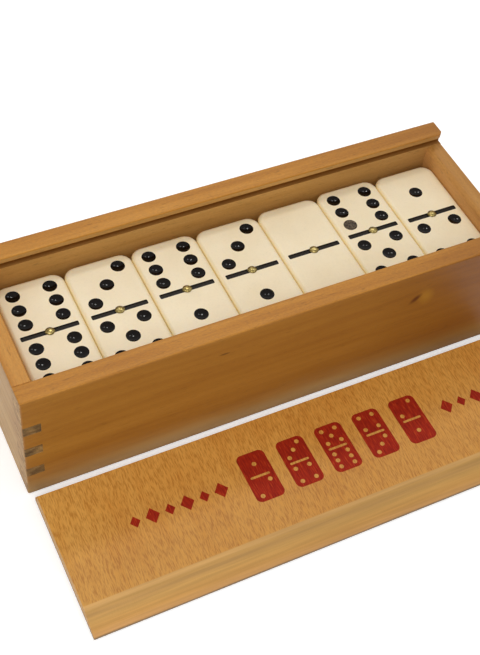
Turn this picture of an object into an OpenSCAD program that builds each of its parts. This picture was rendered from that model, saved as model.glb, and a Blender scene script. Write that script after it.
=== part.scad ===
// Domino storage box: an open finger-jointed wooden box with a sliding lid,
// holding a double-six set of 28 tiles in four layers of seven.
// Origin: centre of the box's bottom face, on the table. X runs along the box
// to the end where the lid slides out, Y to the back, Z up. Millimetres.

/* [Tiles] */
// Length of one tile
tile_l = 49; // [40:0.5:60]
// Width of one tile
tile_w = 25; // [20:0.5:30]
// Thickness of one tile
tile_t = 8.9; // [7:0.1:14]
// Radius of a tile's corners, seen from above
tile_corner_r = 4.6; // [1.5:0.1:6]
// Radius of the worn edges round both faces
tile_edge_r = 1.4; // [0.5:0.1:2]
// Radius of a pip
pip_r = 2.6; // [1.6:0.05:2.8]
// Depth of a pip's hollow
pip_depth = 0.6; // [0.3:0.05:0.9]
// Distance between pip rows, as a share of the tile's width
pip_pitch_share = 0.27; // [0.24:0.01:0.3]
// Length of the groove across the middle
bar_l = 20.8; // [14:0.2:22]
// Width of that groove
bar_w = 2; // [1.2:0.1:2.4]
// Depth of that groove
bar_depth = 0.5; // [0.3:0.05:0.8]

/* [Brass pins] */
// Radius of the domed head
head_r = 1.7; // [1.3:0.05:2.2]
// Height of the domed head
head_h = 0.6; // [0.4:0.05:0.9]
// Radius of the shank
shank_r = 0.7; // [0.5:0.05:0.9]
// Length of the shank inside the tile
shank_l = 6; // [3:0.5:6.5]

/* [How the tiles are packed] */
// Free space between neighbouring tiles
tile_gap = 0.4; // [0.3:0.1:1]
// Play between the row of tiles and each end board
end_play = 1.4; // [1.4:0.1:3]
// Play between the tiles and each side board
side_play = 1.7; // [1.6:0.1:3]
// How far the row has slid toward the open end
row_slip = 1.1; // [0:0.1:1.1]
// Height left free between a pin's head and what lies on it
stack_gap = 0.1; // [0.05:0.05:0.3]
// Free height between the top layer and the lid
lid_room = 5.9; // [4.8:0.1:12]

/* [Box] */
// Thickness of the two long sides
side_t = 7.6; // [6:0.1:10]
// Thickness of the two ends
end_t = 6.5; // [5:0.1:9]
// Thickness of the base
base_t = 4; // [3:0.1:6]
// Height of one finger of the corner joints
finger_h = 4.6; // [3:0.1:5.5]
// Distance from one finger to the next
finger_pitch = 12; // [10:0.5:12]
// Height of the lowest finger's middle
finger_z = 13.5; // [9:0.5:14]

/* [Lid and its grooves] */
// Depth of the groove in each side
groove_d = 2; // [1.5:0.1:3]
// Height of the groove
groove_h = 2.6; // [2.4:0.1:4]
// Wood left above the groove
lip_h = 2.2; // [1.5:0.1:4]
// Play between the lid and the wood round it
lid_clear = 0.3; // [0.2:0.05:0.5]
// Thickness of the lid in its middle
lid_t = 5.5; // [4.5:0.1:7]
// Thickness of the lid's bevelled front edge
lid_edge_t = 1.5; // [1.2:0.1:1.6]
// Width of the bevel along the lid's front edge
bevel_w = 9.4; // [9:0.1:14]

/* [Where the lid lies] */
// Gap between the box's front and the lid on the table
lid_off_y = 3; // [1:0.1:40]
// How far the lid's left end lies in from the box's left end
lid_off_x = 1.4; // [0:0.1:10]

/* [Hidden] */
$fn = 48;
columns = 7;
layers = 4;

// Hair gap under a pin's head
head_seat = 0.02;
layer_pitch = tile_t + head_seat + head_h + stack_gap;
column_pitch = tile_w + tile_gap;
inner_l = columns * tile_w + (columns - 1) * tile_gap + 2 * end_play;
inner_w = tile_l + 2 * side_play;
stack_top = base_t + stack_gap + layers * layer_pitch;
groove_z = stack_top + lid_room;

box_l = inner_l + 2 * end_t;
box_w = inner_w + 2 * side_t;
box_h = groove_z + groove_h + lip_h;
right_end_h = groove_z - lid_clear;

lid_l = inner_l + end_t - lid_clear;
lid_w = inner_w + 2 * groove_d - 2 * lid_clear;

// Tongue along the lid's back edge: it fills the groove, and the step stays clear of the lip
tongue_t = groove_h - 2 * lid_clear;
step_w = groove_d;

pip_pitch = pip_pitch_share * tile_w;
pip_ball_r = (pip_r * pip_r + pip_depth * pip_depth) / (2 * pip_depth);
head_ball_r = (head_r * head_r + head_h * head_h) / (2 * head_h);
hole_r = shank_r + 0.03;
eps = 0.01;
// How far a cutting shape runs past the face that it cuts
over = 1;

// Which end of the play each top tile lies at, -1 to the front, 1 to the back
lean = [-0.55, -0.57, -0.57, -0.79, -0.56, -0.2, -0.68];

// Each tile: value of the far half, value of the near half, column, layer
// Bottom layer
t_3_3 = [3, 3, 1, 1];
t_3_4 = [3, 4, 2, 1];
t_3_6 = [3, 6, 3, 1];
t_4_4 = [4, 4, 4, 1];
t_4_5 = [4, 5, 5, 1];
t_4_6 = [4, 6, 6, 1];
t_5_5 = [5, 5, 7, 1];
// Second layer
t_1_2 = [1, 2, 1, 2];
t_1_5 = [1, 5, 2, 2];
t_2_2 = [2, 2, 3, 2];
t_2_3 = [2, 3, 4, 2];
t_2_4 = [2, 4, 5, 2];
t_2_5 = [2, 5, 6, 2];
t_2_6 = [2, 6, 7, 2];
// Third layer
t_0_1 = [0, 1, 1, 3];
t_0_2 = [0, 2, 2, 3];
t_0_3 = [0, 3, 3, 3];
t_0_4 = [0, 4, 4, 3];
t_0_5 = [0, 5, 5, 3];
t_0_6 = [0, 6, 6, 3];
t_1_1 = [1, 1, 7, 3];
// Top layer, the one in view
t_6_6 = [6, 6, 1, 4];
t_3_5 = [3, 5, 2, 4];
t_6_1 = [6, 1, 3, 4];
t_3_1 = [3, 1, 4, 4];
t_0_0 = [0, 0, 5, 4];
t_6_5 = [6, 5, 6, 4];
t_1_4 = [1, 4, 7, 4];

honey = [0.66, 0.43, 0.20];
pale_honey = [0.73, 0.52, 0.28];
ply = [0.60, 0.42, 0.24];
ivory = [0.91, 0.85, 0.70];
brass = [0.72, 0.56, 0.25];

// ---- tiles ----

// A rectangle with round corners, centred
module round_rect(l, w, r) {
    square([l - 2 * r, w], center = true);
    square([l, w - 2 * r], center = true);
    for (x = [-1, 1], y = [-1, 1])
        translate([x * (l / 2 - r), y * (w / 2 - r)])
            circle(r = r);
}

// Blank tile standing on z = 0: round corners, and soft edges round both faces
module tile_blank() {
    intersection() {
        translate([0, 0, -over])
            linear_extrude(height = tile_t + 2 * over)
                round_rect(tile_w + eps, tile_l + eps, tile_corner_r);
        translate([0, 0, tile_t / 2])
            rotate([90, 0, 0])
                linear_extrude(height = tile_l + 2 * over, center = true)
                    round_rect(tile_w, tile_t, tile_edge_r);
        translate([0, 0, tile_t / 2])
            rotate([90, 0, 90])
                linear_extrude(height = tile_w + 2 * over, center = true)
                    round_rect(tile_l, tile_t, tile_edge_r);
    }
}

// Where the pips of one value stand, in steps of the pip pitch.
// The diagonals run from the far right to the near left.
function pip_spots(v) =
    v == 1 ? [[0, 0]] :
    v == 2 ? [[1, 1], [-1, -1]] :
    v == 3 ? [[1, 1], [0, 0], [-1, -1]] :
    v == 4 ? [[1, 1], [-1, 1], [1, -1], [-1, -1]] :
    v == 5 ? [[1, 1], [-1, 1], [0, 0], [1, -1], [-1, -1]] :
    v == 6 ? [[1, 1], [1, 0], [1, -1], [-1, 1], [-1, 0], [-1, -1]] : [];

// Hollows of the pips in one half; side is 1 for the far half, -1 for the near
module pip_hollows(v, side) {
    for (p = pip_spots(v))
        translate([p[0] * pip_pitch, side * tile_l / 4 + p[1] * pip_pitch,
                   tile_t - pip_depth + pip_ball_r])
            sphere(r = pip_ball_r);
}

// Groove across the middle, with round ends
module bar_groove() {
    translate([0, 0, tile_t - bar_depth])
        linear_extrude(height = bar_depth + over)
            round_rect(bar_l, bar_w, bar_w / 2 - eps);
}

// One tile on z = 0 with its pips up
module tile_shape(far, near) {
    difference() {
        tile_blank();
        pip_hollows(far, 1);
        pip_hollows(near, -1);
        bar_groove();
        translate([0, 0, tile_t - shank_l - head_seat])
            cylinder(r = hole_r, h = shank_l + over);
    }
}

// Brass pin in the middle of a tile that stands on z = 0
module pin_shape() {
    translate([0, 0, tile_t - shank_l])
        cylinder(r = shank_r, h = shank_l + head_h / 2);
    intersection() {
        translate([0, 0, tile_t + head_seat + head_h - head_ball_r])
            sphere(r = head_ball_r);
        translate([-head_r - over, -head_r - over, tile_t + head_seat])
            cube([2 * (head_r + over), 2 * (head_r + over), head_h + over]);
    }
}

// Puts a tile or pin at its column and layer
module at_spot(t) {
    slip_y = t[3] == layers ? lean[t[2] - 1] * side_play : 0;
    translate([(t[2] - (columns + 1) / 2) * column_pitch + row_slip, slip_y,
               base_t + stack_gap + (t[3] - 1) * layer_pitch])
        children();
}

module tile(t) at_spot(t) tile_shape(t[0], t[1]);
module spinner_pin(t) at_spot(t) pin_shape();

module tile_6_6() color(ivory) tile(t_6_6);
module pin_6_6() color(brass) spinner_pin(t_6_6);
module tile_3_5() color(ivory) tile(t_3_5);
module pin_3_5() color(brass) spinner_pin(t_3_5);
module tile_6_1() color(ivory) tile(t_6_1);
module pin_6_1() color(brass) spinner_pin(t_6_1);
module tile_3_1() color(ivory) tile(t_3_1);
module pin_3_1() color(brass) spinner_pin(t_3_1);
module tile_0_0() color(ivory) tile(t_0_0);
module pin_0_0() color(brass) spinner_pin(t_0_0);
module tile_6_5() color(ivory) tile(t_6_5);
module pin_6_5() color(brass) spinner_pin(t_6_5);
module tile_1_4() color(ivory) tile(t_1_4);
module pin_1_4() color(brass) spinner_pin(t_1_4);
module tile_0_1() color(ivory) tile(t_0_1);
module pin_0_1() color(brass) spinner_pin(t_0_1);
module tile_0_2() color(ivory) tile(t_0_2);
module pin_0_2() color(brass) spinner_pin(t_0_2);
module tile_0_3() color(ivory) tile(t_0_3);
module pin_0_3() color(brass) spinner_pin(t_0_3);
module tile_0_4() color(ivory) tile(t_0_4);
module pin_0_4() color(brass) spinner_pin(t_0_4);
module tile_0_5() color(ivory) tile(t_0_5);
module pin_0_5() color(brass) spinner_pin(t_0_5);
module tile_0_6() color(ivory) tile(t_0_6);
module pin_0_6() color(brass) spinner_pin(t_0_6);
module tile_1_1() color(ivory) tile(t_1_1);
module pin_1_1() color(brass) spinner_pin(t_1_1);
module tile_1_2() color(ivory) tile(t_1_2);
module pin_1_2() color(brass) spinner_pin(t_1_2);
module tile_1_5() color(ivory) tile(t_1_5);
module pin_1_5() color(brass) spinner_pin(t_1_5);
module tile_2_2() color(ivory) tile(t_2_2);
module pin_2_2() color(brass) spinner_pin(t_2_2);
module tile_2_3() color(ivory) tile(t_2_3);
module pin_2_3() color(brass) spinner_pin(t_2_3);
module tile_2_4() color(ivory) tile(t_2_4);
module pin_2_4() color(brass) spinner_pin(t_2_4);
module tile_2_5() color(ivory) tile(t_2_5);
module pin_2_5() color(brass) spinner_pin(t_2_5);
module tile_2_6() color(ivory) tile(t_2_6);
module pin_2_6() color(brass) spinner_pin(t_2_6);
module tile_3_3() {
    color(ivory) tile(t_3_3);
    color(brass) spinner_pin(t_3_3);
}
module tile_3_4() color(ivory) tile(t_3_4);
module pin_3_4() color(brass) spinner_pin(t_3_4);
module tile_3_6() color(ivory) tile(t_3_6);
module pin_3_6() color(brass) spinner_pin(t_3_6);
module tile_4_4() color(ivory) tile(t_4_4);
module pin_4_4() color(brass) spinner_pin(t_4_4);
module tile_4_5() color(ivory) tile(t_4_5);
module pin_4_5() color(brass) spinner_pin(t_4_5);
module tile_4_6() color(ivory) tile(t_4_6);
module pin_4_6() color(brass) spinner_pin(t_4_6);
module tile_5_5() {
    color(ivory) tile(t_5_5);
    color(brass) spinner_pin(t_5_5);
}

// ---- box ----

// Front long side: finger sockets at both ends, groove for the lid inside
module front_side() {
    color(honey)
        difference() {
            translate([-box_l / 2, -box_w / 2, 0])
                cube([box_l, side_t, box_h]);
            finger_sockets(-box_l / 2);
            finger_sockets(box_l / 2 - end_t);
            translate([-inner_l / 2, -inner_w / 2 - groove_d, groove_z])
                cube([inner_l + end_t + over, groove_d + over, groove_h]);
        }
}

// Sockets through the front side, for the fingers of the end board at x
module finger_sockets(x) {
    for (i = [0:2])
        translate([x - (x < 0 ? over : 0), -box_w / 2 - over,
                   finger_z + i * finger_pitch - finger_h / 2])
            cube([end_t + over, side_t + 2 * over, finger_h]);
}

// Back long side, the mirror image of the front one
module back_side() {
    mirror([0, 1, 0])
        front_side();
}

// End board with three fingers on each edge
module end_board(x, h) {
    translate([x, -inner_w / 2, 0])
        cube([end_t, inner_w, h]);
    for (i = [0:2])
        translate([x, -box_w / 2, finger_z + i * finger_pitch - finger_h / 2])
            cube([end_t, box_w, finger_h]);
}

// Left end, as high as the sides
module left_end() color(honey) end_board(-box_l / 2, box_h);

// Right end, lower, so that the lid passes over it
module right_end() color(honey) end_board(box_l / 2 - end_t, right_end_h);

// Base, let in between the four boards
module base_board() {
    color(ply)
        translate([-inner_l / 2, -inner_w / 2, 0])
            cube([inner_l, inner_w, base_t]);
}

// ---- lid ----

// Section of the lid across its width, centred: tongue at the back, bevel at the front
module lid_section() {
    w = lid_w / 2;
    polygon([
        [-w, 0], [w, 0],
        [w, tongue_t], [w - step_w, tongue_t], [w - step_w, lid_t],
        [bevel_w - w, lid_t], [-w, lid_edge_t]
    ]);
}

// Lid taken off, lying on the table in front of the box
module lid() {
    color(pale_honey)
        translate([lid_off_x - box_l / 2, -(box_w + lid_w) / 2 - lid_off_y, 0])
            rotate([90, 0, 90])
                linear_extrude(height = lid_l)
                    lid_section();
}

// ---- nodes ----

front_side();
back_side();
left_end();
right_end();
base_board();
lid();
tile_6_6();
tile_3_5();
tile_6_1();
tile_3_1();
tile_0_0();
tile_6_5();
tile_1_4();
tile_0_1();
tile_0_2();
tile_0_3();
tile_0_4();
tile_0_5();
tile_0_6();
tile_1_1();
tile_1_2();
tile_1_5();
tile_2_2();
tile_2_3();
tile_2_4();
tile_2_5();
tile_2_6();
tile_3_3();
tile_3_4();
tile_3_6();
tile_4_4();
tile_4_5();
tile_4_6();
tile_5_5();
pin_6_6();
pin_3_5();
pin_6_1();
pin_3_1();
pin_0_0();
pin_6_5();
pin_1_4();
pin_0_1();
pin_0_2();
pin_0_3();
pin_0_4();
pin_0_5();
pin_0_6();
pin_1_1();
pin_1_2();
pin_1_5();
pin_2_2();
pin_2_3();
pin_2_4();
pin_2_5();
pin_2_6();
pin_3_4();
pin_3_6();
pin_4_4();
pin_4_5();
pin_4_6();
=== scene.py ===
# %% [markdown]
# # A wooden domino box with a sliding lid
# This lesson dresses a wooden domino box, its lid and its tiles. The exact solids come
# from the CAD frame, in metres: X along the box to the end where the lid slides out, Y to
# the back, Z up, and the origin under the middle of the box. We load them, measure them,
# and then make each board, tile and pin again with soft edges and a real finish.

import math

import bmesh
import bpy
from mathutils import Matrix, Vector


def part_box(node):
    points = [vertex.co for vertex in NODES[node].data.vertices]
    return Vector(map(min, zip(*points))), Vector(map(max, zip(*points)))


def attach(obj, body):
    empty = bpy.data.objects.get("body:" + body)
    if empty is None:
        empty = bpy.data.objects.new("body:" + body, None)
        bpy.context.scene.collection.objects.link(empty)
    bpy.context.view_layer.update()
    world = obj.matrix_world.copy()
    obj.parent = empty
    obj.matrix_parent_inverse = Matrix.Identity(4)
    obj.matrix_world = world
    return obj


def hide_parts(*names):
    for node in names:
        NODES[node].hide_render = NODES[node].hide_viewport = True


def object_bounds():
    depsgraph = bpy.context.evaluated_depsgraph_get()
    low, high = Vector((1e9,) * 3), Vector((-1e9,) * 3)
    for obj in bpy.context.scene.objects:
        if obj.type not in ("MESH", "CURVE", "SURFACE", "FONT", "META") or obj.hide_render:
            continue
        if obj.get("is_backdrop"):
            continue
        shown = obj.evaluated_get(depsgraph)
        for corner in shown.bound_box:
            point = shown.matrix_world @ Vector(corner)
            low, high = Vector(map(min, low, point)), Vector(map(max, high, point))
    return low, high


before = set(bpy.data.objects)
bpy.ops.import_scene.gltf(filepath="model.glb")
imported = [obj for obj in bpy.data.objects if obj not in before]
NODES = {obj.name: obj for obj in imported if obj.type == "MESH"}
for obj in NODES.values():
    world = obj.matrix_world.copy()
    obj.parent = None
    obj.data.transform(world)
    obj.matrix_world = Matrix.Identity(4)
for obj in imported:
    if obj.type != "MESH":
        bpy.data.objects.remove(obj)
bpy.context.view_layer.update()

# %% [markdown]
# ## Read the sizes
# Every board, the lid and the tiles are measured from their CAD solids, so each dressed
# piece lies where its solid lies. Small features, such as the grooves and the pips,
# repeat the part's own values. Only the tiles differ a little, as told below.

# %% Measure the solids
MM = 0.001


def span(node):
    """Lowest corner, highest corner and size of a CAD node."""
    low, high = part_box(node)
    return low, high, high - low


_, _, front_size = span("front_side")
_, _, left_size = span("left_end")
_, _, right_size = span("right_end")
base_low, base_high, base_size = span("base_board")
lid_low, lid_high, lid_size = span("lid")
_, _, tile_size = span("tile_0_0")

BOX_L = front_size.x
BOX_W = left_size.y
BOX_H = front_size.z
SIDE_T = front_size.y
END_T = left_size.x
INNER_L = base_size.x
INNER_W = base_size.y
print("box mm:", [round(v / MM, 1) for v in (BOX_L, BOX_W, BOX_H)])
print("tile mm:", [round(v / MM, 1) for v in tile_size])

# %% [markdown]
# ## The camera
# The box is seen from its front left, from well above, through a longish lens that is
# turned a little clockwise. The place and the turn were solved from the pips and the
# straight edges, so they are odd numbers.

# %% Camera
EYE = Vector((-0.15195, -0.25548, 0.37699))
AZIMUTH, ELEVATION, ROLL = (math.radians(a) for a in (-31.4716, 49.7358, 7.4123))


def camera_axes(azimuth, elevation, roll):
    """Right, up and back directions of a camera that looks at the box."""
    back = Vector((
        math.sin(azimuth) * math.cos(elevation),
        -math.cos(azimuth) * math.cos(elevation),
        math.sin(elevation),
    ))
    right = Vector((0, 0, 1)).cross(back).normalized()
    up = back.cross(right)
    turned_right = right * math.cos(roll) + up * math.sin(roll)
    turned_up = up * math.cos(roll) - right * math.sin(roll)
    return turned_right, turned_up, back


camera_data = bpy.data.cameras.new("camera")
camera_data.sensor_fit = "AUTO"
camera_data.sensor_width = 36
camera_data.lens = 68.4
camera_data.shift_x = -0.0224
camera_data.shift_y = -0.0458
camera_data.clip_start = 0.01
camera = bpy.data.objects.new("camera", camera_data)
bpy.context.collection.objects.link(camera)
axes = camera_axes(AZIMUTH, ELEVATION, ROLL)
camera.matrix_world = Matrix.Translation(EYE) @ Matrix(axes).transposed().to_4x4()
bpy.context.scene.camera = camera
print("camera at", [round(v, 3) for v in camera.matrix_world.translation])

# %% [markdown]
# ## Small tools for materials
# A finish is a chain of shader nodes. `Finish` keeps the typing short: it makes a node,
# sets its plain inputs and joins its sockets, and it has words for the few kinds of
# node that wood, paint and brass need.

# %% Helpers for shader nodes


def rgb(r, g, b):
    """A colour as seen on screen, 0 to 255, as the linear colour that Blender wants."""
    def linear(c):
        c /= 255
        return c / 12.92 if c <= 0.04045 else ((c + 0.055) / 1.055) ** 2.4
    return (linear(r), linear(g), linear(b), 1.0)


class Finish:
    """One material, and short words for the nodes in it."""

    def __init__(self, name):
        self.material = bpy.data.materials.new(name)
        self.material.use_nodes = True
        self.tree = self.material.node_tree
        self.shader = self.tree.nodes["Principled BSDF"]

    def node(self, kind, inputs=None, **settings):
        made = self.tree.nodes.new(kind)
        for key, value in settings.items():
            setattr(made, key, value)
        for key, value in (inputs or {}).items():
            self.feed(made.inputs[key], value)
        return made

    def feed(self, socket, value):
        if isinstance(value, bpy.types.NodeSocket):
            self.tree.links.new(value, socket)
        else:
            socket.default_value = value

    def coords(self, scale, move=(0, 0, 0), warp=None):
        """Object coordinates, stretched: a small scale along the grain makes it long."""
        place = self.node("ShaderNodeTexCoord").outputs["Object"]
        if warp is not None:
            place = self.node("ShaderNodeVectorMath", {0: place, 1: warp}, operation="ADD").outputs[0]
        return self.node("ShaderNodeMapping", {"Vector": place, "Scale": scale, "Location": move}).outputs[0]

    def noise(self, vector, scale=1.0, detail=3.0, rough=0.5, distort=0.0):
        return self.node("ShaderNodeTexNoise", {
            "Vector": vector, "Scale": scale, "Detail": detail,
            "Roughness": rough, "Distortion": distort,
        }).outputs["Fac"]

    def ramp(self, value, *stops):
        """A colour ramp from (position, colour) pairs; a plain number is a grey."""
        made = self.node("ShaderNodeValToRGB", {"Fac": value})
        ramp = made.color_ramp
        while len(ramp.elements) < len(stops):
            ramp.elements.new(0.5)
        for element, (position, colour) in zip(ramp.elements, stops):
            element.position = position
            element.color = colour if isinstance(colour, tuple) else (colour, colour, colour, 1)
        return made.outputs["Color"]

    def mix(self, factor, a, b, how="MIX"):
        made = self.node("ShaderNodeMix", data_type="RGBA", blend_type=how)
        self.feed(made.inputs[0], factor)
        self.feed(made.inputs[6], a)
        self.feed(made.inputs[7], b)
        return made.outputs[2]

    def times(self, tone, factor):
        """A tone multiplied by a colour or a grey ramp."""
        return self.mix(1.0, tone, factor, "MULTIPLY")

    def split(self, kind="Object"):
        """X, Y and Z of a texture coordinate."""
        place = self.node("ShaderNodeTexCoord").outputs[kind]
        return self.node("ShaderNodeSeparateXYZ", {"Vector": place}).outputs

    def math(self, how, a, b=0.0, c=0.0):
        made = self.node("ShaderNodeMath", operation=how)
        for socket, value in zip(made.inputs, (a, b, c)):
            self.feed(socket, value)
        return made.outputs[0]

    def bump(self, height, distance, strength=1.0, under=None):
        made = self.node("ShaderNodeBump", {"Height": height, "Distance": distance, "Strength": strength})
        if under is not None:
            self.feed(made.inputs["Normal"], under)
        return made.outputs[0]

    def set(self, **inputs):
        for key, value in inputs.items():
            self.feed(self.shader.inputs[key.replace("_", " ")], value)
        return self.material


# %% [markdown]
# ## Wood
# A light hardwood such as beech, under honey-coloured lacquer, has four scales of detail:
# slow changes of tone over several centimetres, growth lines along the board, a fine
# mottle all over, and a few short dark pores. Each is a noise texture, stretched along
# the grain where the wood is. `grain` names the axis that the grain runs along, so one
# recipe serves every board. The standing-face factor is painted light: it makes standing
# faces paler or deeper than the top, with a soft change over a rounded edge. The right-end
# factor is painted shade: it deepens the tone toward the end where the lid slides out,
# where less light falls.

# %% Wood recipe
STRETCH = {"x": (0.05, 1, 1), "y": (1, 0.05, 1), "z": (1, 1, 0.05)}


def wood_tone(f, grain, dark, middle, light, shift=0.0, mottle=0.10, pores=0.25, warp=None):
    """Colour and height of lacquered wood with its grain along one axis."""
    along = STRETCH[grain]
    slow = f.noise(f.coords([s * 60 for s in along], (shift, shift * 2, 0), warp), detail=2, distort=0.8)
    lines = f.noise(f.coords([s * 420 for s in along], (shift, 0, shift), warp), detail=4, rough=0.6)
    fine = f.noise(f.coords([900 + 1300 * (s > 0.5) for s in along], (0, shift, 0)), detail=3, rough=0.65)
    pore = f.noise(f.coords([2000 * (0.12 if s < 0.5 else 1) for s in along], (shift, 0, 0)), detail=1)
    bands = f.math("MULTIPLY_ADD", lines, 0.5, f.math("MULTIPLY", slow, 0.5))
    tone = f.ramp(bands, (0.38, dark), (0.50, middle), (0.64, light))
    tone = f.times(tone, f.ramp(fine, (0.35, 1 - mottle), (0.65, 1.0)))
    tone = f.times(tone, f.ramp(pore, (0.66, 1.0), (0.74, 1 - pores)))
    height = f.math("ADD", f.math("MULTIPLY", fine, 0.5), f.math("MULTIPLY", lines, 0.5))
    return tone, height, fine


def wood(name, grain, dark, middle, light, gloss=0.42, upright_light=None, right_shade=None, **more):
    """A whole material from the recipe, with a thin satin lacquer."""
    f = Finish(name)
    tone, height, fine = wood_tone(f, grain, dark, middle, light, **more)
    # Painted light: standing faces paler or deeper than the top.
    if upright_light is not None:
        up = f.split("Normal")["Z"]
        tone = f.mix(f.ramp(up, (0.10, 1.0), (0.95, 0.0)), tone, f.times(tone, upright_light))
    # Painted shade: darker toward the right end, where less light falls.
    if right_shade is not None:
        x = f.split()["X"]
        tone = f.mix(f.ramp(x, (0.03, 0.0), (0.095, 1.0)), tone, f.times(tone, right_shade))
    rough = f.ramp(fine, (0.3, gloss), (0.7, gloss + 0.12))
    return f.set(Base_Color=tone, Roughness=rough, Normal=f.bump(height, 0.00005), Specular_IOR_Level=0.24)


# %% [markdown]
# The outside of a long board is darker than the rest. Painted shade deepens it toward
# the right, where less light falls, and along its lower edge by the floor; it is darker
# toward the lower left corner too, and painted light makes it paler and greyer toward
# the foot. The front one has a small knot that the grain lines bend round: a light eye,
# with a dark crescent slanting past it on the left.
# It has a short dark scar too. The back one is plain, and `shift` gives it other grain.

# %% Long face finish
KNOT = (0.0545, 0.0395)
SCAR = (-0.0250, 0.0443)


def long_face_finish(name, shift, marked):
    """Long face with painted light at its grey foot and painted shade toward the right; a marked one has a
    knot and a scar.
    """
    f = Finish(name)
    x, _, z = f.split()

    def from_point(centre, wide, high, turn=0.0):
        """Distance from a point, squashed to a turned oval: 1 at its rim."""
        across = f.math("SUBTRACT", x, centre[0])
        up = f.math("SUBTRACT", z, centre[1])
        c, s = math.cos(math.radians(turn)), math.sin(math.radians(turn))
        u = f.math("ADD", f.math("MULTIPLY", across, c / wide), f.math("MULTIPLY", up, s / wide))
        v = f.math("SUBTRACT", f.math("MULTIPLY", up, c / high), f.math("MULTIPLY", across, s / high))
        square = f.math("ADD", f.math("MULTIPLY", u, u), f.math("MULTIPLY", v, v))
        return f.math("SQRT", square), v

    bend = None
    if marked:
        near, side = from_point(KNOT, 0.014, 0.006)
        push = f.math("MULTIPLY", f.math("EXPONENT", f.math("MULTIPLY", near, -1.1)), side)
        bend = f.node("ShaderNodeCombineXYZ", {"Z": f.math("MULTIPLY", push, -0.005)}).outputs[0]
    tone, height, fine = wood_tone(f, "x", rgb(156, 102, 35), rgb(164, 110, 39), rgb(171, 117, 44),
                                   mottle=0.10, pores=0.15, shift=shift, warp=bend)
    cloud = f.noise(f.coords((14, 30, 55), (shift, 0, 0)), detail=3, distort=0.5)
    # Painted light: paler and greyer toward the foot.
    foot = f.math("SUBTRACT", f.math("MULTIPLY_ADD", cloud, 0.30, 0.20), f.math("DIVIDE", z, 0.040))
    tone = f.mix(f.ramp(foot, (0.0, 0.0), (0.13, 0.22), (0.28, 0.95)), tone, rgb(196, 154, 92))
    # Painted shade: darker toward the right end, where less light falls.
    painted_right_shade = f.math("MULTIPLY_ADD", cloud, 0.04, x)
    tone = f.mix(f.ramp(painted_right_shade, (0.0, 0.0), (0.05, 0.30), (0.09, 1.0)), tone,
                 f.times(tone, rgb(210, 192, 146)))
    # Darker toward the lower left corner; painted shade along the lower edge, by the floor.
    low_left = f.math("ADD", f.math("DIVIDE", z, 0.012), f.math("DIVIDE", f.math("ADD", x, BOX_L / 2), 0.016))
    tone = f.times(tone, f.ramp(low_left, (0.35, 0.74), (1.0, 1.0)))
    tone = f.times(tone, f.ramp(f.math("DIVIDE", z, BOX_H), (0.005, 0.66), (0.035, 1.0)))
    if marked:
        eye, _ = from_point((KNOT[0] + 0.0010, KNOT[1] - 0.0004), 0.0042, 0.0056, 25)
        tone = f.mix(f.ramp(eye, (0.2, 0.60), (1.0, 0.0)), tone, rgb(172, 120, 34))
        crescent, _ = from_point((KNOT[0] - 0.0032, KNOT[1] - 0.0002), 0.0036, 0.0017, 42)
        tone = f.mix(f.ramp(crescent, (0.30, 0.95), (1.1, 0.0)), tone, rgb(88, 40, 4))
        scar, _ = from_point(SCAR, 0.0024, 0.0006)
        tone = f.mix(f.ramp(scar, (0.4, 0.7), (1.1, 0.0)), tone, rgb(84, 50, 22))
    return f.set(Base_Color=tone, Roughness=f.ramp(fine, (0.3, 0.40), (0.7, 0.52)),
                 Normal=f.bump(height, 0.00005), Specular_IOR_Level=0.22)


# %% End grain finish


def end_grain(name, dark, light, shift=0.0, patch=0.0):
    """Sawn end grain: it drinks the lacquer, so it is darker, duller and dotted."""
    f = Finish(name)
    rings = f.noise(f.coords((260, 260, 700), (shift, 0, 0)), detail=3, distort=0.4)
    dots = f.noise(f.coords((2200, 2200, 2200)), detail=2)
    patches = f.noise(f.coords((170, 170, 170), (0, shift, shift)), detail=1)
    tone = f.ramp(rings, (0.35, dark), (0.68, light))
    tone = f.times(tone, f.ramp(dots, (0.45, 1.0), (0.68, 0.72)))
    tone = f.times(tone, f.ramp(patches, (0.40, 1 - patch), (0.58, 1.0)))
    return f.set(Base_Color=tone, Roughness=0.6, Normal=f.bump(dots, 0.00006), Specular_IOR_Level=0.25)


# %% Outside of the ends


def end_face_finish():
    """The outside of an end board: painted light makes it paler and greyer than the end wood, and it is
    browner toward its front edge and top.
    """
    f = Finish("end face wood")
    _, y, z = f.split()
    # Painted light: paler, greyer tones than the end board wood.
    tone, height, fine = wood_tone(f, "y", rgb(180, 140, 92), rgb(194, 156, 106), rgb(206, 171, 122),
                                   shift=8.3, mottle=0.12)
    # Browner toward the front edge and the top.
    edge = f.ramp(f.math("DIVIDE", y, -BOX_W / 2), (0.55, 0.0), (1.0, 0.75))
    level = f.math("DIVIDE", z, BOX_H)
    high = f.ramp(level, (0.25, 0.15), (1.0, 1.0))
    top = f.ramp(level, (0.6, 0.0), (1.0, 0.3))
    brown_edge_mask = f.math("MAXIMUM", f.math("MULTIPLY", edge, high), top)
    tone = f.mix(brown_edge_mask, tone, rgb(138, 86, 34))
    return f.set(Base_Color=tone, Roughness=f.ramp(fine, (0.3, 0.45), (0.7, 0.58)),
                 Normal=f.bump(height, 0.00005), Specular_IOR_Level=0.16)


# %% Inside of the lid's groove
GROOVE_D = 2 * MM


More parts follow.
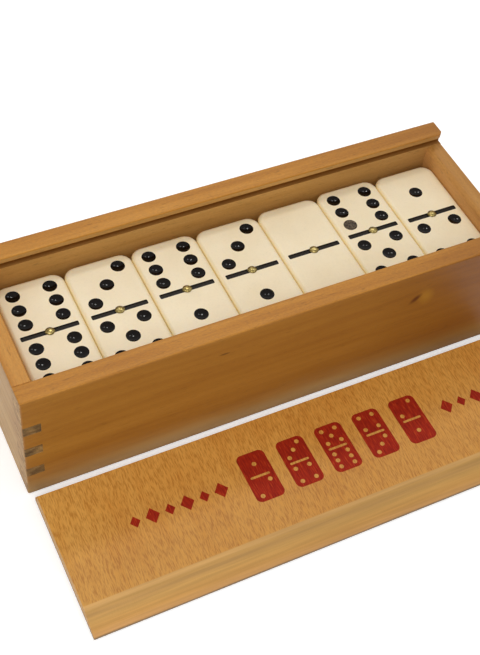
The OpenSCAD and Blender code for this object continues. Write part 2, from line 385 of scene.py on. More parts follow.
def groove_finish():
    """Bare sawn wood with painted shade, darker toward the back of the groove."""
    f = Finish("groove wood")
    tone, height, fine = wood_tone(f, "x", rgb(150, 100, 46), rgb(166, 114, 56), rgb(180, 128, 68), shift=2.2)
    y = f.split()["Y"]
    depth = f.math("DIVIDE", f.math("SUBTRACT", f.math("ABSOLUTE", y), INNER_W / 2), GROOVE_D)
    # Painted shade: darker toward the back of the groove.
    tone = f.mix(f.ramp(depth, (0.20, 0.10), (0.95, 0.90)), tone, rgb(138, 84, 20))
    return f.set(Base_Color=tone, Roughness=0.7, Normal=f.bump(height, 0.00008), Specular_IOR_Level=0.2)


# %% All the wood of the box
# Painted shade: the right-end factor darkens these woods toward the right end, where less light falls.
side_wood = wood("side board wood", "x", rgb(174, 113, 39), rgb(189, 127, 46), rgb(203, 141, 58),
                 mottle=0.16, pores=0.25, right_shade=(0.76, 0.72, 0.72, 1))
# Painted light: the inner faces get a lighter copy of the board wood.
lit_inner_wood = wood("inside wood", "x", rgb(187, 137, 70), rgb(197, 148, 80), rgb(205, 157, 89), shift=5.5,
                  right_shade=(0.78, 0.74, 0.74, 1))
# Painted light: the end wood's standing faces are paler and bluer than its top.
end_wood = wood("end board wood", "y", rgb(176, 116, 46), rgb(192, 131, 56), rgb(204, 146, 69), shift=3.1,
                mottle=0.14, upright_light=(1.33, 1.42, 1.92, 1), right_shade=(0.85, 0.90, 1.10, 1))
end_face = end_face_finish()
shaded_groove_wood = groove_finish()
base_wood = wood("base plywood", "x", rgb(150, 108, 64), rgb(182, 138, 88), rgb(200, 160, 110),
                 shift=7.7, gloss=0.6)
front_wood = long_face_finish("front face wood", 0.0, True)
back_wood = long_face_finish("back face wood", 9.4, False)
side_ends = end_grain("side board end grain", rgb(150, 111, 70), rgb(198, 161, 112))
finger_ends = end_grain("finger end grain", rgb(112, 80, 42), rgb(154, 120, 70), shift=5.0, patch=0.45)
print("wood finishes:", [w.name for w in (side_wood, lit_inner_wood, end_wood, front_wood, back_wood, base_wood)])

# %% [markdown]
# ## Tools for making a board
# A board is drawn as an outline, pulled out to its thickness, cut where it has a groove,
# and its edges are eased. Easing matters: a knife-sharp edge catches no light and looks
# false. The outer edges of the whole box are rounded at once, by keeping only what lies
# inside one rounded block, so the rounding runs on across the finger joints.

# %% Helpers for meshes


def mesh_object(name, bm, *materials):
    """Turns a bmesh into a linked object."""
    mesh = bpy.data.meshes.new(name)
    bm.to_mesh(mesh)
    bm.free()
    for material in materials:
        mesh.materials.append(material)
    made = bpy.data.objects.new(name, mesh)
    bpy.context.collection.objects.link(made)
    return made


def block(low, high):
    """A bmesh of a plain block between two corners."""
    bm = bmesh.new()
    bmesh.ops.create_cube(bm, size=1)
    low, high = Vector(low), Vector(high)
    size = high - low
    for v in bm.verts:
        v.co = Vector([low[i] + (v.co[i] + 0.5) * size[i] for i in range(3)])
    return bm


def pulled(points, direction):
    """A bmesh of a flat outline pulled out along a direction."""
    bm = bmesh.new()
    face = bm.faces.new([bm.verts.new(p) for p in points])
    grown = bmesh.ops.extrude_face_region(bm, geom=[face])
    bmesh.ops.translate(bm, vec=Vector(direction),
                        verts=[v for v in grown["geom"] if isinstance(v, bmesh.types.BMVert)])
    bmesh.ops.recalc_face_normals(bm, faces=bm.faces)
    return bm


def ease(bm, chosen, radius, steps=3):
    """Rounds the edges whose middle and direction the test accepts."""
    edges = [e for e in bm.edges
             if chosen((e.verts[0].co + e.verts[1].co) / 2, (e.verts[1].co - e.verts[0].co).normalized())]
    bmesh.ops.bevel(bm, geom=edges, offset=radius, segments=steps, profile=0.5,
                    affect="EDGES", clamp_overlap=True)
    return len(edges)


def cut(piece, tool, how="DIFFERENCE"):
    """Adds a boolean step with another object."""
    step = piece.modifiers.new(how.lower(), "BOOLEAN")
    step.operation = how
    step.solver = "EXACT"
    step.object = tool
    return step


def soften(piece, width):
    """Adds a small bevel on every sharp edge."""
    step = piece.modifiers.new("small edges", "BEVEL")
    step.width = width
    step.segments = 2
    step.limit_method = "ANGLE"
    step.angle_limit = math.radians(55)


def settle(piece, *tools, smooth=32):
    """Bakes the modifiers into the mesh, drops the tools, and smooths the shading."""
    bpy.context.view_layer.update()
    shaped = piece.evaluated_get(bpy.context.evaluated_depsgraph_get())
    mesh = bpy.data.meshes.new_from_object(shaped)
    piece.modifiers.clear()
    piece.data = mesh
    for tool in tools:
        bpy.data.objects.remove(tool)
    mesh.polygons.foreach_set("use_smooth", [True] * len(mesh.polygons))
    mesh.set_sharp_from_angle(angle=math.radians(smooth))
    even = piece.modifiers.new("even shading", "WEIGHTED_NORMAL")
    even.keep_sharp = True
    even.weight = 80
    return piece


# %% [markdown]
# ## The four boards
# The corners are finger joints: three square fingers stand out of each edge of an end
# board and show their dark end grain on the long sides. Above the fingers the sides
# carry a groove for the lid, under a thin lip, and the right end stops below the groove.
# Where the lid slides out, the mouth of the groove flares a little and the lip has a
# rounded nose.

# %% Where the fingers are
FINGER_H = 4.6 * MM
FINGER_PITCH = 12 * MM
FINGER_Z = 13.5 * MM
GROOVE_H = 2.6 * MM
LIP_H = 2.2 * MM
GROOVE_Z = BOX_H - LIP_H - GROOVE_H
fingers = [(FINGER_Z + i * FINGER_PITCH - FINGER_H / 2, FINGER_Z + i * FINGER_PITCH + FINGER_H / 2)
           for i in range(3)]
print("fingers at mm:", [[round(z / MM, 1) for z in f] for f in fingers])

# %% Rounded block that holds the whole box


def rounded_block():
    """The outside of the box with its edges rounded, to trim every board with."""
    bm = block((-BOX_L / 2, -BOX_W / 2, 0), (BOX_L / 2, BOX_W / 2, BOX_H))
    ease(bm, lambda middle, way: True, 0.7 * MM, 4)
    return mesh_object("trim", bm)


# %% Groove and nose tools
FLARE = 1.0 * MM
NOSE_R = 2.4 * MM


def arc(centre_x, centre_y, r, start, stop, steps=6):
    """Points along part of a circle, angles in degrees."""
    angles = (math.radians(start + (stop - start) * i / steps) for i in range(steps + 1))
    return [(centre_x + r * math.cos(a), centre_y + r * math.sin(a)) for a in angles]


def groove_tool(y_in):
    """The lid's way, closed at the left and flared at its mouth."""
    mouth = BOX_L / 2
    top = GROOVE_Z + GROOVE_H
    outline = [(-INNER_L / 2, GROOVE_Z)]
    outline += arc(mouth - FLARE, GROOVE_Z - FLARE, FLARE, 90, 0)
    outline += [(BOX_L, GROOVE_Z - FLARE), (BOX_L, top + FLARE)]
    outline += arc(mouth - FLARE, top + FLARE, FLARE, 0, -90)
    outline += [(-INNER_L / 2, top)]
    return mesh_object("groove", pulled([(x, y_in - GROOVE_D, z) for x, z in outline],
                                        (0, GROOVE_D + 0.01, 0)))


def nose_tool(y_in):
    """What is taken off the lip's corner to round it."""
    x, y = BOX_L / 2, y_in
    past = 10 * MM
    outline = arc(x - NOSE_R, y - NOSE_R, NOSE_R, 90, 0)
    outline += [(x + past, y - NOSE_R), (x + past, y + past), (x - NOSE_R, y + past)]
    bottom = GROOVE_Z + GROOVE_H / 2
    return mesh_object("nose", pulled([(px, py, bottom) for px, py in outline], (0, 0, 2 * past)))


# %% Side board


def side_board(name, front):
    """Long side: sockets at both ends, groove along the inside, soft lip."""
    y_out = -BOX_W / 2
    y_in = y_out + SIDE_T
    steps_left = [(-BOX_L / 2, 0)]
    for low, high in fingers:
        inside = -BOX_L / 2 + END_T
        steps_left += [(-BOX_L / 2, low), (inside, low), (inside, high), (-BOX_L / 2, high)]
    steps_left += [(-BOX_L / 2, BOX_H)]
    steps_right = [(-x, z) for x, z in reversed(steps_left)]
    bm = pulled([(x, y_out, z) for x, z in steps_left + steps_right], (0, SIDE_T, 0))
    ease(bm, lambda m, w: abs(m.y - y_in) < 1e-5 and m.z > BOX_H - 1e-5 and abs(w.x) > 0.9, 0.5 * MM)
    outside = front_wood if front else back_wood
    piece = mesh_object(name, bm, side_wood, side_ends, outside, lit_inner_wood, shaded_groove_wood)
    groove, nose, trim = groove_tool(y_in), nose_tool(y_in), rounded_block()
    cut(piece, groove)
    cut(piece, nose)
    cut(piece, trim, "INTERSECT")
    soften(piece, 0.04 * MM)
    settle(piece, groove, nose, trim)
    if not front:
        piece.data.transform(Matrix.Scale(-1, 4, (0, 1, 0)))
        piece.data.flip_normals()
    for face in piece.data.polygons:
        if abs(face.normal.x) > 0.7:
            face.material_index = 1
        elif abs(face.normal.y) > 0.6 and abs(face.center.y) > BOX_W / 2 - 0.5 * MM:
            face.material_index = 2
        elif (abs(face.center.y) > INNER_W / 2 + 1e-5
              and GROOVE_Z - FLARE < face.center.z < BOX_H - LIP_H + 1e-5):
            face.material_index = 4
        elif face.center.z < BOX_H - LIP_H + 1e-5:
            face.material_index = 3
        else:
            face.material_index = 0
    return piece


boards = {
    "front_side": side_board("front_board", True),
    "back_side": side_board("back_board", False),
}
print("side boards made")

# %% End boards


def end_board(name, x_low, height, inner_r, outer_r):
    """End: three fingers on each edge, grain across the box, its top edges rounded."""
    edge = [(-INNER_W / 2, 0)]
    for low, high in fingers:
        edge += [(-INNER_W / 2, low), (-BOX_W / 2, low), (-BOX_W / 2, high), (-INNER_W / 2, high)]
    edge += [(-INNER_W / 2, height)]
    other = [(-y, z) for y, z in reversed(edge)]
    bm = pulled([(x_low, y, z) for y, z in edge + other], (END_T, 0, 0))

    def on_top(m, w):
        return m.z > height - 1e-5 and abs(w.y) > 0.9

    ease(bm, lambda m, w: on_top(m, w) and abs(m.x) < BOX_L / 2 - 1e-5, inner_r, 6)
    ease(bm, lambda m, w: on_top(m, w) and abs(m.x) > BOX_L / 2 - 1e-5, outer_r, 4)
    piece = mesh_object(name, bm, end_wood, finger_ends, end_face)
    trim = rounded_block()
    cut(piece, trim, "INTERSECT")
    soften(piece, 0.04 * MM)
    settle(piece, trim)
    for face in piece.data.polygons:
        if abs(face.normal.y) > 0.7 and abs(face.center.y) > INNER_W / 2 + 1e-4:
            face.material_index = 1
        elif abs(face.normal.x) > 0.6 and abs(face.center.x) > BOX_L / 2 - 0.5 * MM:
            face.material_index = 2
        else:
            face.material_index = 0
    return piece


boards["left_end"] = end_board("left_end_board", -BOX_L / 2, BOX_H, 0.5 * MM, 0.5 * MM)
boards["right_end"] = end_board("right_end_board", BOX_L / 2 - END_T, right_size.z, 2.4 * MM, 0.9 * MM)

# %% Base board
bm = block(base_low, base_high)
ease(bm, lambda m, w: True, 0.2 * MM, 2)
boards["base_board"] = mesh_object("base", bm, base_wood)
settle(boards["base_board"])

for node, piece in boards.items():
    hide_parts(node)
    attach(piece, "box")
print("boards:", {n: len(p.data.polygons) for n, p in boards.items()})

# %% [markdown]
# ## The lid
# The lid is a thin board of plywood. Its back edge is stepped down to a tongue and its
# front edge is planed to a shallow bevel, so that both fit the grooves. The bevel cuts
# through the layers, so they show as stripes along its length. The face has short
# flecks across the width. The section is drawn once and pulled along the lid, in the
# lid's own coordinates.

# %% Lid finish
LID_L, LID_W, LID_T = lid_size.x, lid_size.y, lid_size.z
BEVEL_W = 9.4 * MM
EDGE_T = 1.5 * MM
TONGUE_W, TONGUE_T = 2 * MM, 2 * MM


def lid_finish():
    """Face with flecks across the width, with painted light at the left and back, painted shade at the right
    and the bevel; layers by height on the bevel and the ends.
    """
    f = Finish("lid wood")
    x, across, height = f.split()
    lean = f.node("ShaderNodeCombineXYZ", {"X": f.math("MULTIPLY", across, -0.05)}).outputs[0]
    slow = f.noise(f.coords((22, 30, 30)), detail=2, distort=0.5)
    lines = f.noise(f.coords((300, 34, 60), warp=lean), detail=3, rough=0.6)
    fleck = f.noise(f.coords((2800, 380, 600), warp=lean), detail=2, rough=0.55)
    # Painted shade: the grain tone darkens toward the right end, where less light falls.
    grain_and_right_shade = f.math("SUBTRACT", f.math("MULTIPLY_ADD", lines, 0.45, f.math("MULTIPLY", slow, 0.55)),
                  f.math("MULTIPLY", x, 0.35))
    tone = f.ramp(grain_and_right_shade, (0.34, rgb(198, 134, 52)), (0.46, rgb(204, 143, 60)), (0.60, rgb(209, 150, 67)))
    tone = f.times(tone, f.ramp(fleck, (0.36, (0.78, 0.67, 0.52, 1)), (0.50, 1.0), (0.62, 1.10)))
    # Painted light and shade across the width: darker toward the bevel, lighter toward the back edge by the
    # box.
    inward = f.math("MULTIPLY_ADD", across, 1 / LID_W, 0.5)
    tone = f.times(tone, f.ramp(inward, (0.36, (0.86, 0.85, 0.86, 1)), (0.72, 1.04)))
    along = f.math("DIVIDE", x, LID_L)
    # Painted light: paler and bluer toward the left end.
    tone = f.times(tone, f.ramp(along, (0.10, (1.03, 1.07, 1.16, 1)), (0.34, 1.0)))
    wander = f.math("MULTIPLY_ADD", f.noise(f.coords((24, 200, 200)), detail=2), 0.0007, height)
    layer = f.math("DIVIDE", wander, LID_T)
    streak = f.noise(f.coords((40, 900, 2200)), detail=3)
    layers = f.ramp(layer, (0.24, rgb(132, 102, 62)), (0.36, rgb(205, 152, 90)), (0.52, rgb(201, 148, 76)),
                    (0.72, rgb(201, 153, 82)), (0.84, rgb(186, 141, 79)), (0.95, rgb(193, 147, 79)),
                    (1.03, rgb(208, 160, 94)))
    layers = f.times(layers, f.ramp(streak, (0.35, 0.88), (0.65, 1.04)))
    # Painted shade: the layers on the bevel darken toward the right end.
    layers = f.times(layers, f.ramp(along, (0.08, 1.0), (0.45, 0.86)))
    on_face = f.ramp(f.math("DIVIDE", height, LID_T), (0.985, 0.0), (0.995, 1.0))
    tone = f.mix(on_face, layers, tone)
    return f.set(Base_Color=tone, Roughness=f.ramp(fleck, (0.4, 0.46), (0.7, 0.58)),
                 Normal=f.bump(fleck, 0.00005), Specular_IOR_Level=0.3)


lid_wood = lid_finish()

# %% Lid shape


def lid_board():
    """The stepped and bevelled section pulled along the lid, edges eased."""
    w = LID_W / 2
    section = [(-w, 0), (w, 0), (w, TONGUE_T), (w - TONGUE_W, TONGUE_T), (w - TONGUE_W, LID_T),
               (BEVEL_W - w, LID_T), (-w, EDGE_T)]
    bm = pulled([(0, y, z) for y, z in section], (LID_L, 0, 0))
    ease(bm, lambda m, way: abs(way.x) > 0.9 and m.z > LID_T - 1e-5 and m.y < 0, 0.9 * MM, 3)
    ease(bm, lambda m, way: abs(way.x) > 0.9 and m.z > LID_T - 1e-5 and m.y > 0, 0.3 * MM, 2)
    ease(bm, lambda m, way: abs(way.x) > 0.9 and m.y < -w + 1e-5, 0.3 * MM, 2)
    piece = mesh_object("lid_board", bm, lid_wood)
    soften(piece, 0.25 * MM)
    return settle(piece)


lid = lid_board()
lid.location = (lid_low.x, (lid_low.y + lid_high.y) / 2, 0)
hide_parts("lid")
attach(lid, "lid")
print("lid mm:", [round(v / MM, 1) for v in lid_size])

# %% [markdown]
# ## The print on the lid
# A plain red-brown ornament is stamped on the lid: five solid tile shapes in the middle,
# with their pips left bare, and a row of lozenges on each side. Ink lies on the wood as
# a skin, so each mark is a thin flat piece two hundredths of a millimetre above it. The
# bare pips are real holes: an outline and its holes are filled together.

# %% Ink


def ink_finish():
    """Matt ink that has sunk into the flecks of the wood a little."""
    f = Finish("red ink")
    worn = f.noise(f.coords((2500, 300, 500)), detail=3)
    tone = f.ramp(worn, (0.34, rgb(132, 22, 4)), (0.60, rgb(160, 36, 8)), (0.72, rgb(178, 64, 24)))
    return f.set(Base_Color=tone, Roughness=0.6, Specular_IOR_Level=0.15)


red_ink = ink_finish()
PIPS = {0: [], 1: [(0, 0)], 2: [(1, 1), (-1, -1)], 3: [(1, 1), (0, 0), (-1, -1)],
        4: [(1, 1), (-1, 1), (1, -1), (-1, -1)], 5: [(1, 1), (-1, 1), (0, 0), (1, -1), (-1, -1)],
        6: [(1, 1), (1, 0), (1, -1), (-1, 1), (-1, 0), (-1, -1)]}

# %% Marks of the ornament
INK_GAP = 0.02 * MM
MARK_X, MARK_Y = 105 * MM, 3.7 * MM
MARK_PITCH = 15.5 * MM
MARK_PIP_PITCH, MARK_PIP_R = 2.7 * MM, 0.85 * MM
MARK_HALF = 5.1 * MM
LOZENGE_START, LOZENGE_PITCH = 46 * MM, 6.4 * MM


def rounded(x, y, half_x, half_y, r, steps=6):
    """Points round a rectangle with round corners."""
    points = []
    for side_x, side_y, start in ((1, 1, 0), (-1, 1, 90), (-1, -1, 180), (1, -1, 270)):
        for i in range(steps + 1):
            a = math.radians(start + 90 * i / steps)
            points.append((x + side_x * (half_x - r) + r * math.cos(a),
                           y + side_y * (half_y - r) + r * math.sin(a)))
    return points


def fill(bm, z, outline, *holes):
    """Fills an outline and leaves its holes bare."""
    edges = []
    for loop in (outline,) + holes:
        verts = [bm.verts.new((x, y, z)) for x, y in loop]
        edges += [bm.edges.new((verts[i], verts[(i + 1) % len(verts)])) for i in range(len(verts))]
    bmesh.ops.triangle_fill(bm, edges=edges, use_beauty=True, use_dissolve=False)


def lid_ornament():
    """Solid tiles with bare pips in the middle, lozenges at the sides."""
    z = LID_T + INK_GAP
    bm = bmesh.new()
    for i, (up, down) in enumerate([(1, 2), (3, 4), (5, 6), (4, 3), (2, 1)]):
        x = MARK_X + (i - 2) * MARK_PITCH
        holes = [rounded(x, MARK_Y, 3.7 * MM, 0.45 * MM, 0.44 * MM, 3)]
        for value, side in ((up, 1), (down, -1)):
            for px, py in PIPS[value]:
                spot = (x + px * MARK_PIP_PITCH, MARK_Y + side * MARK_HALF + py * MARK_PIP_PITCH)
                holes.append(rounded(*spot, MARK_PIP_R, MARK_PIP_R, 0.849 * MM, 4))
        fill(bm, z, rounded(x, MARK_Y, 5.4 * MM, 10.0 * MM, 2.2 * MM), *holes)
    for side in (-1, 1):
        for i in range(6):
            x = MARK_X + side * (LOZENGE_START + i * LOZENGE_PITCH)
            r = (1.9 if i % 2 else 2.6) * MM
            fill(bm, z, [(x + r, MARK_Y), (x, MARK_Y + r * 1.2), (x - r, MARK_Y), (x, MARK_Y - r * 1.2)])
    bmesh.ops.recalc_face_normals(bm, faces=bm.faces)
    for face in bm.faces:
        if face.normal.z < 0:
            face.normal_flip()
    return mesh_object("lid_ornament", bm, red_ink)


ornament = lid_ornament()
ornament.location = lid.location
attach(ornament, "lid")
print("ornament marks:", len(ornament.data.polygons))

# %% [markdown]
# ## The tiles
# Each tile is a slab of ivory-coloured resin with round corners and soft edges. The pips
# are shallow hollows and the line across the middle is a groove, both filled with glossy
# black paint. We build a blank once as a stack of rings, build a dish for each pip, and
# take the dishes out of the blank. The cut faces keep the dish's own black material.
# The solids keep 0.4 mm between neighbours so that they run free, while real tiles lie
# nearly edge to edge. So a dressed tile is `CLOSE` wider than its solid on each long
# side. Its edges are rounded a tenth of a millimetre more.

# %% Tile finishes


def ivory_finish():
    """Cream resin, slightly cloudy and polished; its standing sides carry painted light, a warmer yellow."""
    f = Finish("ivory resin")
    cloud = f.noise(f.coords((60, 60, 60)), detail=3)
    speck = f.noise(f.coords((1400, 1400, 1400)), detail=2)
    tone = f.ramp(cloud, (0.3, rgb(230, 211, 174)), (0.7, rgb(237, 220, 186)))
    tone = f.times(tone, f.ramp(speck, (0.25, 0.96), (0.5, 1.0)))
    up = f.split("Normal")["Z"]
    # Painted light: the standing sides are tinted a warmer, more saturated yellow.
    tone = f.mix(f.ramp(up, (0.1, 1.0), (0.92, 0.0)), tone, rgb(240, 214, 146))
    return f.set(Base_Color=tone, Roughness=f.ramp(speck, (0.3, 0.34), (0.7, 0.42)),
                 Subsurface_Weight=0.25, Subsurface_Radius=(1.0, 0.75, 0.4), Subsurface_Scale=0.0016,
                 Normal=f.bump(cloud, 0.00004), Specular_IOR_Level=0.35)


def paint_finish():
    """Black paint, glossy, with a faint unevenness."""
    f = Finish("pip paint")
    uneven = f.noise(f.coords((900, 900, 900)), detail=2)
    return f.set(Base_Color=f.ramp(uneven, (0.3, rgb(10, 6, 4)), (0.8, rgb(22, 15, 11))),
                 Roughness=0.11, Normal=f.bump(uneven, 0.00002), Specular_IOR_Level=0.11)


def worn_paint_finish():
    """One pip has lost most of its paint: thin grey-brown, rubbed in patches."""
    f = Finish("worn pip paint")
    rubbed = f.noise(f.coords((1500, 1500, 1500)), detail=3)
    return f.set(Base_Color=f.ramp(rubbed, (0.40, rgb(44, 35, 27)), (0.62, rgb(100, 86, 66))), Roughness=0.5,
                 Specular_IOR_Level=0.2)


def bar_paint_finish():
    """The same black, laid thin in the groove, so it dried duller."""
    f = Finish("bar paint")
    uneven = f.noise(f.coords((700, 1500, 1500)), detail=3)
    return f.set(Base_Color=f.ramp(uneven, (0.35, rgb(16, 11, 7)), (0.7, rgb(38, 29, 18))),
                 Roughness=0.42, Normal=f.bump(uneven, 0.00006), Specular_IOR_Level=0.12)


ivory = ivory_finish()
paint = paint_finish()
worn_paint = worn_paint_finish()
bar_paint = bar_paint_finish()
TILE_FINISHES = (ivory, paint, worn_paint, bar_paint)
PAINT, WORN, BAR = 1, 2, 3

# %% Tile blank
TILE_W, TILE_L, TILE_T = tile_size
CORNER_R = 4.6 * MM
EDGE_R = 1.5 * MM
CLOSE = 0.17 * MM


def tile_blank():
    """Rings from the bottom face, round the edge, to the top face."""
    turn = [math.radians(15 * i) for i in range(7)]
    profile = [(EDGE_R * (1 - math.sin(a)), EDGE_R * (1 - math.cos(a))) for a in turn]
    profile += [(inset, TILE_T - z) for inset, z in reversed(profile)]
    bm = bmesh.new()
    rings = [[bm.verts.new((x, y, z)) for x, y in
              rounded(0, 0, TILE_W / 2 + CLOSE - inset, TILE_L / 2 - inset, CORNER_R - inset, 9)]
             for inset, z in profile]
    for a, b in zip(rings, rings[1:]):
        for i in range(len(a)):
            j = (i + 1) % len(a)
            bm.faces.new((a[i], a[j], b[j], b[i]))
    bm.faces.new(list(reversed(rings[0])))
    bm.faces.new(rings[-1])
    bmesh.ops.recalc_face_normals(bm, faces=bm.faces)
    return bm


# %% Dishes for the pips and the middle line
PIP_R, PIP_DEPTH = 2.6 * MM, 0.6 * MM
PIP_PITCH = 0.27 * TILE_W
BAR_L, BAR_W, BAR_DEPTH = 20.8 * MM, 2.0 * MM, 0.5 * MM


def add_rings(bm, rings, finish):
    """Closed body from a list of rings of points, all in one finish."""
    made = [[bm.verts.new(p) for p in ring] for ring in rings]
    faces = [bm.faces.new(list(reversed(made[0]))), bm.faces.new(made[-1])]
    for a, b in zip(made, made[1:]):
        for i in range(len(a)):
            j = (i + 1) % len(a)
            faces.append(bm.faces.new((a[i], a[j], b[j], b[i])))
    for face in faces:
        face.material_index = finish


def add_dish(bm, x, y, finish, points=40):
    """A shallow bowl: part of a ball, standing a little out of the face."""
    ball = (PIP_R ** 2 + PIP_DEPTH ** 2) / (2 * PIP_DEPTH)
    rings = []
    for share in (0.12, 0.32, 0.52, 0.70, 0.84, 0.94):
        r = share * PIP_R
        rings.append((r, TILE_T - PIP_DEPTH + ball - math.sqrt(ball * ball - r * r)))
    rings += [(PIP_R, TILE_T - 0.02 * MM), (PIP_R * 1.03, TILE_T + 0.3 * MM)]
    turns = [2 * math.pi * i / points for i in range(points)]
    circles = [[(x + r * math.cos(a), y + r * math.sin(a), z) for a in turns] for r, z in rings]
    add_rings(bm, circles, finish)


def add_trough(bm):
    """The groove across the middle, with nearly square ends and a flat bottom."""
    rings = []
    for share, depth in ((0.60, 1.0), (0.86, 0.90), (0.97, 0.55), (1.0, 0.05), (1.04, -0.6)):
        inset = (1 - share) * BAR_W / 2
        half = BAR_W / 2 - inset
        ring = rounded(0, 0, BAR_L / 2 - inset, half, half * 0.45, 5)
        rings.append([(x, y, TILE_T - depth * BAR_DEPTH) for x, y in ring])
    add_rings(bm, rings, BAR)


WORN_PIP = (6, 5, 1, -1, -1)


def make_tile(name, far, near):
    """A blank with the dishes of both values and the middle groove taken out."""
    piece = mesh_object(name, tile_blank(), *TILE_FINISHES)
    bm = bmesh.new()
    for value, side in ((far, 1), (near, -1)):
        for px, py in PIPS[value]:
            finish = WORN if (far, near, side, px, py) == WORN_PIP else PAINT
            add_dish(bm, px * PIP_PITCH, side * TILE_L / 4 + py * PIP_PITCH, finish)
    add_trough(bm)
    bmesh.ops.recalc_face_normals(bm, faces=bm.faces)
    dishes = mesh_object("dishes", bm, *TILE_FINISHES)
    cut(piece, dishes)
    return settle(piece, dishes)


# %% [markdown]
# ## The brass pins
# A brass pin is pressed into the middle of each tile. Its domed head stands just proud
# of the face, so stacked tiles can spin and do not scratch each other. The head has a
# narrow flat rim, and dirt has darkened the ring around it.

# %% Pin finish and shape


def brass_finish():
    """Brass that is bright in places and dull in others."""
    f = Finish("pin brass")
    spot = f.noise(f.coords((1800, 1800, 1800)), detail=2)
    tone = f.ramp(spot, (0.36, rgb(112, 96, 54)), (0.50, rgb(150, 132, 80)), (0.64, rgb(182, 162, 106)))
    return f.set(Base_Color=tone, Metallic=1.0, Roughness=f.ramp(spot, (0.3, 0.40), (0.7, 0.26)))


def tarnish_finish():
    """Dirt in the crease and round the rim of a pin's head."""
    f = Finish("pin tarnish")
    spot = f.noise(f.coords((2500, 2500, 2500)), detail=2)
    return f.set(Base_Color=f.ramp(spot, (0.3, rgb(46, 36, 16)), (0.7, rgb(92, 74, 34))),
                 Metallic=1.0, Roughness=0.45)


brass = brass_finish()
tarnish = tarnish_finish()


def make_pin(name):
    """A turned shape: shank, rim, crease and dome."""
    profile = [(0.0, -6.0), (0.6, -6.0), (0.7, -5.8), (0.7, 0.0), (1.62, 0.02), (1.7, 0.07),
               (1.7, 0.12), (1.60, 0.17), (1.42, 0.19), (1.34, 0.25), (1.18, 0.37), (0.94, 0.48),
               (0.60, 0.57), (0.30, 0.61), (0.0, 0.62)]
    bm = bmesh.new()
    around = 32
    rings = []
    for r, z in profile:
        if r == 0.0:
            rings.append([bm.verts.new((0, 0, z * MM + TILE_T))])
        else:
            rings.append([bm.verts.new((r * MM * math.cos(a), r * MM * math.sin(a), z * MM + TILE_T))
                          for a in (2 * math.pi * i / around for i in range(around))])
    for k, (a, b) in enumerate(zip(rings, rings[1:])):
        for i in range(around):
            j = (i + 1) % around
            corners = [a[i], a[j], b[j], b[i]] if len(a) > 1 and len(b) > 1 else (
                [a[0], b[j], b[i]] if len(a) == 1 else [a[i], a[j], b[0]])
            face = bm.faces.new(corners)
            face.material_index = 1 if k in (3, 4, 7) else 0
    bmesh.ops.recalc_face_normals(bm, faces=bm.faces)
    piece = mesh_object(name, bm, brass, tarnish)
    return settle(piece, smooth=50)


# %% [markdown]
# ## Lay out the set
# Every tile node carries its two values in its name, far half first. The dressed tile
# and its pin are set down on the middle of the CAD tile's bottom face and ride on its
# body.

# %% Place all tiles and pins
tile_nodes = sorted(n for n in NODES if n.startswith("tile_"))
for node in tile_nodes:
    far, near = (int(v) for v in node.split("_")[1:])
    low, high, _ = span(node)
    place = Vector(((low.x + high.x) / 2, (low.y + high.y) / 2, low.z))
    piece = make_tile(f"domino_{far}_{near}", far, near)
    pin = make_pin(f"spinner_{far}_{near}")
    for made in (piece, pin):
        made.data.transform(Matrix.Translation(place))
        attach(made, node)
    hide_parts(node)
    if "pin_" + node[5:] in NODES:
        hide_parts("pin_" + node[5:])
print("tiles:", len(tile_nodes))

# %% [markdown]
# ## Floor and light
# A plain white sheet takes the soft shadow. The world gives even light from all round,
# and to the camera and in shiny surfaces it looks plain white. A wide softbox, high and
# toward the camera, lights the top, the front and the far inner wall, helped by a weaker
# one lower down. A small key lamp stands high behind the box, a little to the right: in a
# hollow pip its mirror image shows as one small spot right of the middle. A dimmer lamp
# beside it gives the second spot.

# %% Rays that see the background


def looking_rays(tree):
    """1 for rays straight from the camera or off a shiny surface, 0 for rays that light."""
    path = tree.nodes.new("ShaderNodeLightPath").outputs
    found = path["Is Camera Ray"]
    for kind in ("Is Glossy Ray", "Is Transmission Ray"):
        either = tree.nodes.new("ShaderNodeMath")
        either.operation = "MAXIMUM"
        tree.links.new(found, either.inputs[0])
        tree.links.new(path[kind], either.inputs[1])
        found = either.outputs[0]
    return found


# %% Floor
FLOOR_LIFT, FAR_LIFT = 0.34, 0.47
FLOOR_REACH = 4.0


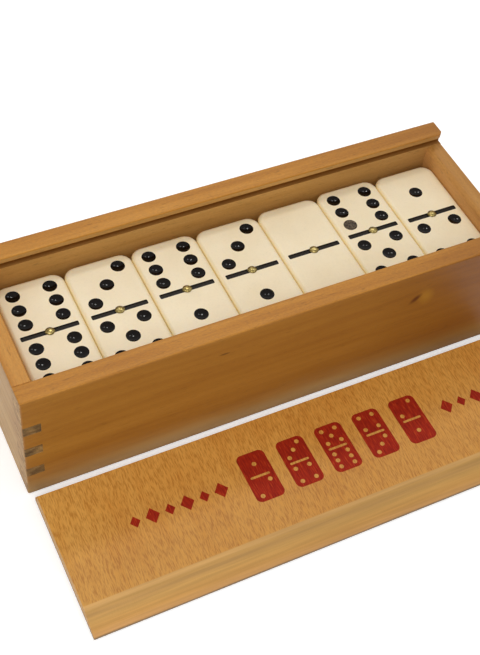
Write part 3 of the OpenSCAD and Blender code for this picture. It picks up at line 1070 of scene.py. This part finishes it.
def floor_finish():
    """White paper; a ray that looks at it sees it a little brighter than it lights."""
    f = Finish("floor")
    f.set(Base_Color=(0.92, 0.92, 0.92, 1), Roughness=0.9, Specular_IOR_Level=0.1)
    seen = looking_rays(f.tree)
    place = f.node("ShaderNodeTexCoord").outputs["Object"]
    reach = f.node("ShaderNodeVectorMath", {0: place}, operation="LENGTH").outputs["Value"]
    lift = f.ramp(f.math("DIVIDE", reach, FLOOR_REACH), (0.12, FLOOR_LIFT), (0.5, FAR_LIFT))
    glow = f.node("ShaderNodeEmission", {"Color": (1, 1, 1, 1), "Strength": f.math("MULTIPLY", seen, lift)})
    both = f.node("ShaderNodeAddShader")
    f.feed(both.inputs[0], f.shader.outputs[0])
    f.feed(both.inputs[1], glow.outputs[0])
    f.feed(f.tree.nodes["Material Output"].inputs["Surface"], both.outputs[0])
    return f.material


bm = bmesh.new()
bmesh.ops.create_grid(bm, x_segments=1, y_segments=1, size=6)
floor = mesh_object("floor", bm, floor_finish())
floor.location.z = -0.0001
floor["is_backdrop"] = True

# %% World and lamps
SKY_LIGHT = 0.58
world = bpy.data.worlds.new("studio")
bpy.context.scene.world = world
world.use_nodes = True
sky = world.node_tree.nodes["Background"]
sky.inputs["Color"].default_value = (1, 1, 1, 1)
level = world.node_tree.nodes.new("ShaderNodeMath")
level.operation = "MULTIPLY_ADD"
world.node_tree.links.new(looking_rays(world.node_tree), level.inputs[0])
level.inputs[1].default_value = 1.0 - SKY_LIGHT
level.inputs[2].default_value = SKY_LIGHT
world.node_tree.links.new(level.outputs[0], sky.inputs["Strength"])


def softbox(name, way, distance, size, power):
    """A square area lamp in a direction from the box, aimed at the box."""
    data = bpy.data.lights.new(name, "AREA")
    data.shape = "SQUARE"
    data.size = size
    data.energy = power
    lamp = bpy.data.objects.new(name, data)
    bpy.context.collection.objects.link(lamp)
    way = Vector(way).normalized()
    lamp.location = way * distance
    lamp.rotation_euler = (-way).to_track_quat("-Z", "Y").to_euler()


softbox("main", (-0.38, -0.50, 0.87), 0.95, 0.85, 2.8)
softbox("low", (-0.50, -0.75, 0.66), 1.2, 0.90, 1.15)
softbox("key", (0.18, 0.50, 0.86), 1.3, 0.12, 2.4)
softbox("second", (0.46, 0.38, 0.82), 1.3, 0.12, 0.7)
bpy.context.scene.view_settings.view_transform = "Standard"
print("lamps set")

# %% [markdown]
# ## The size
# The dressed box has to stay inside the CAD box, so its size is printed.

# %% Print the size
low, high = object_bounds()
print("size kept:", [round((high[i] - low[i]) / MM, 2) for i in range(3)])
